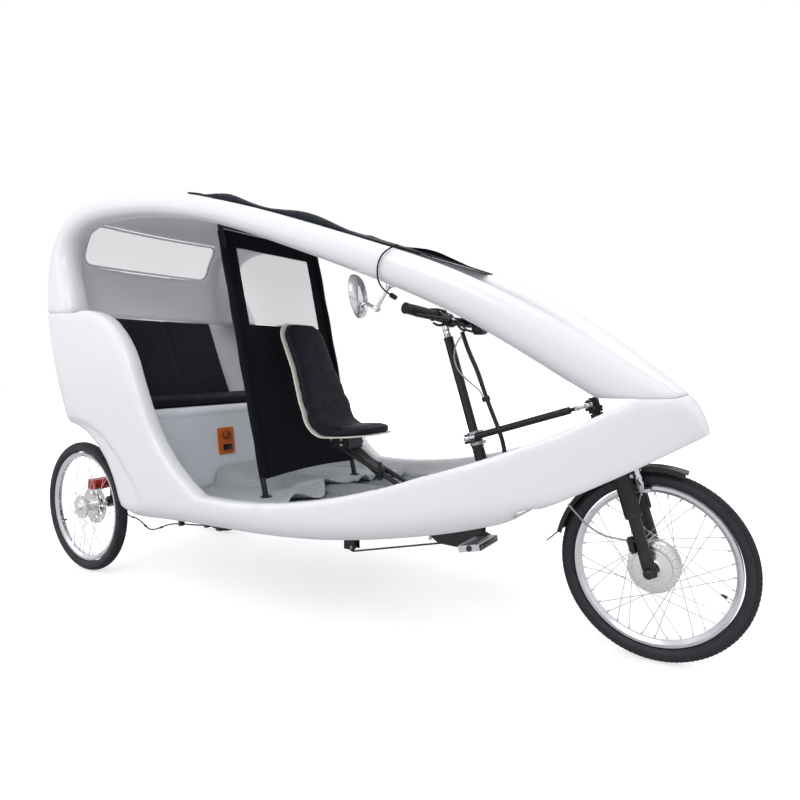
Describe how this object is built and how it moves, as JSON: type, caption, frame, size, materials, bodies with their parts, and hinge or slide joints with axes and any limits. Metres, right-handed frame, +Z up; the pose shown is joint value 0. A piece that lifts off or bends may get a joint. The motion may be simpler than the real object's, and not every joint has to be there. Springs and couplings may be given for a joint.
{
  "type": "cycle rickshaw",
  "caption": "Three-wheeled pedal rickshaw with a moulded white cabin, passenger bench, rider's seat, remote steering and spoked wheels.",
  "frame": {"origin": "on the ground, midway between the front and rear axles, on the centre plane", "axes": "+X forward along the vehicle, +Y to the rider's left, +Z up"},
  "size_m": [3.08, 1.184, 1.6712],
  "materials": {
    "white_shell": "satin gloss moulded",
    "white_panel": "satin",
    "grey_floor": "speckled matt",
    "clear_window": "clear",
    "black_fabric": "woven",
    "cover_fabric": "coated cloth",
    "black_leather": "padded vinyl",
    "seat_plastic": "cream satin",
    "black_frame": "satin black",
    "orange_plate": "satin",
    "tyre_black": "matt",
    "rim_silver": "polished",
    "hub_silver": "machined",
    "steel": "brushed",
    "chrome": "mirror polished",
    "black_plastic": "matt",
    "black_rubber": "matt",
    "chain_steel": "oiled",
    "red_caliper": "satin red",
    "black_cord": "matt",
    "grey_cord": "satin"
  },
  "bodies": {
    "chassis": {"tub_shell": "white_shell", "roof_shell": "white_shell", "rear_window": "clear_window", "floor_pan": "grey_floor", "bench_base": "white_panel", "control_plate": "orange_plate", "bench_cushion": "black_leather", "bench_backrest": "black_leather", "divider_frame": "black_frame", "divider_cloth": "black_fabric", "divider_window": "clear_window", "rain_cover": "cover_fabric", "main_frame": "black_frame", "seat_rail": "black_frame", "seat_shell": "seat_plastic", "seat_pad": "black_leather", "chain": "chain_steel", "chain_guard": "black_frame", "chain_idlers": "black_plastic", "side_mirror": "chrome", "rear_calipers": "red_caliper", "control_loom": "black_cord", "signal_cable": "grey_cord", "brake_hose": "black_cord", "cover_elastic": "black_cord", "cord_fittings": "black_plastic"},
    "handlebar_assembly": {"steering_column": "black_frame", "handlebar": "black_frame", "grips": "black_rubber", "brake_levers": "black_plastic", "display": "black_plastic"},
    "link": {"steering_link": "black_frame"},
    "fork_assembly": {"fork": "black_frame", "front_fender": "black_plastic", "front_brake": "hub_silver", "motor_cable": "grey_cord", "motor_cable_gland": "black_plastic"},
    "front_wheel": {"front_tyre": "tyre_black", "front_rim": "rim_silver", "front_hub_motor": "hub_silver"},
    "rear_right_wheel": {"rear_right_tyre": "tyre_black", "rear_right_rim": "rim_silver", "rear_right_hub": "hub_silver"},
    "rear_left_wheel": {"rear_left_tyre": "tyre_black", "rear_left_rim": "rim_silver", "rear_left_hub": "hub_silver"},
    "cranks": {"crankset": "black_frame"},
    "right_pedal": {"pedal_right": "hub_silver"},
    "left_pedal": {"pedal_left": "hub_silver"}
  },
  "joints": [
    {"name": "fork_steer", "type": "hinge", "parent": "chassis", "child": "fork_assembly", "pos_m": [1.20165, 0, 0.28864], "axis": [-0.284, 0, 0.9588], "range_deg": [-30, 30]},
    {"name": "handlebar_turn", "type": "hinge", "parent": "chassis", "child": "handlebar_assembly", "pos_m": [0.566, 0, 0.832], "axis": [-0.284, 0, 0.9588], "range_deg": [-30, 30]},
    {"name": "link_pivot", "type": "hinge", "parent": "handlebar_assembly", "child": "link", "pos_m": [0.61286, -0.062, 0.6738], "axis": [-0.284, 0, 0.9588], "range_deg": [-30, 30]},
    {"name": "front_wheel_spin", "type": "hinge", "parent": "fork_assembly", "child": "front_wheel", "pos_m": [1.24, 0, 0.3], "axis": [0, 1, 0], "continuous": true},
    {"name": "rear_right_wheel_spin", "type": "hinge", "parent": "chassis", "child": "rear_right_wheel", "pos_m": [-1.24, -0.38, 0.3], "axis": [0, 1, 0], "continuous": true},
    {"name": "rear_left_wheel_spin", "type": "hinge", "parent": "chassis", "child": "rear_left_wheel", "pos_m": [-1.24, 0.38, 0.3], "axis": [0, 1, 0], "continuous": true},
    {"name": "crank_turn", "type": "hinge", "parent": "chassis", "child": "cranks", "pos_m": [0.552, 0, 0.4], "axis": [0, 1, 0], "continuous": true},
    {"name": "right_pedal_turn", "type": "hinge", "parent": "cranks", "child": "right_pedal", "pos_m": [0.70498, -0.165, 0.33819], "axis": [0, 1, 0], "continuous": true},
    {"name": "left_pedal_turn", "type": "hinge", "parent": "cranks", "child": "left_pedal", "pos_m": [0.39902, 0.165, 0.46181], "axis": [0, 1, 0], "continuous": true}
  ],
  "couplings": [
    {"joint": "handlebar_turn", "follows": "fork_steer", "ratio": 1},
    {"joint": "link_pivot", "follows": "fork_steer", "ratio": -1}
  ]
}
